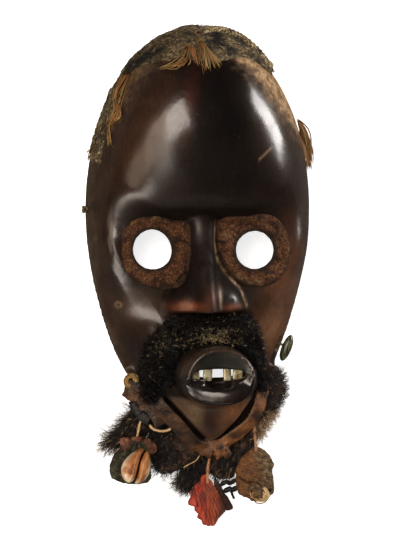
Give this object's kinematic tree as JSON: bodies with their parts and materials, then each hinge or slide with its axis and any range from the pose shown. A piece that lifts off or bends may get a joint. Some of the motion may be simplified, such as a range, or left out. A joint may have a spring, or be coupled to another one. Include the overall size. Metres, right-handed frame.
{
  "type": "dan mask",
  "caption": "Carved dark wooden Dan face mask with felt round the eyes, metal teeth, fur moustache and beard, and a leather chin strap with amulets and a cowrie.",
  "frame": {"origin": "centre of the bounding box in plan, on the plane of the back of the rim, on which the mask lies", "axes": "+Z out of the face, +Y towards the top of the head, +X to the viewer's right"},
  "size_m": [0.1424, 0.3018, 0.058],
  "materials": {
    "wood": "polished, dark brown-black with red-brown edges",
    "felt": "matted felt, rough",
    "tooth_metal": "dull, scratched",
    "fibre_dark": "matted, crusted",
    "raffia": "dry fibre",
    "seed": "smooth, slightly glossy",
    "black_fur": "short curly fur",
    "leather": "worn, dull",
    "dark_leather": "worn, dull",
    "thong": "dry",
    "packet_cloth": "crusted",
    "shell": "glossy",
    "red_bark": "fibrous, dull",
    "pouch_weave": "woven, dull",
    "hide_fur": "long fur"
  },
  "bodies": {
    "root": {"mask": "wood", "eye_cloth_left": "felt", "eye_cloth_right": "felt", "tooth_1": "tooth_metal", "tooth_2": "tooth_metal", "tooth_3": "tooth_metal", "tooth_4": "tooth_metal", "plaited_band": "fibre_dark", "hair_cap": "fibre_dark", "fibre_strip": "fibre_dark", "raffia_tie": "raffia", "raffia_curl": "raffia", "raffia_tuft": "raffia", "rim_knot": "fibre_dark", "toggle": "seed", "toggle_thread": "fibre_dark", "moustache": "black_fur", "chin_strap": "leather", "leather_lug": "leather", "fibre_loop": "raffia", "rolled_strap": "dark_leather", "curved_thong": "thong", "packet": "packet_cloth", "cowrie": "shell", "packet_thong": "thong", "red_amulet": "red_bark", "amulet_thong": "thong", "dark_tag": "dark_leather", "woven_pouch": "pouch_weave", "pouch_thong": "thong", "beard_left": "hide_fur", "beard_middle": "hide_fur", "beard_tuft": "hide_fur", "beard_centre": "hide_fur", "beard_right": "hide_fur"}
  },
  "joints": []
}
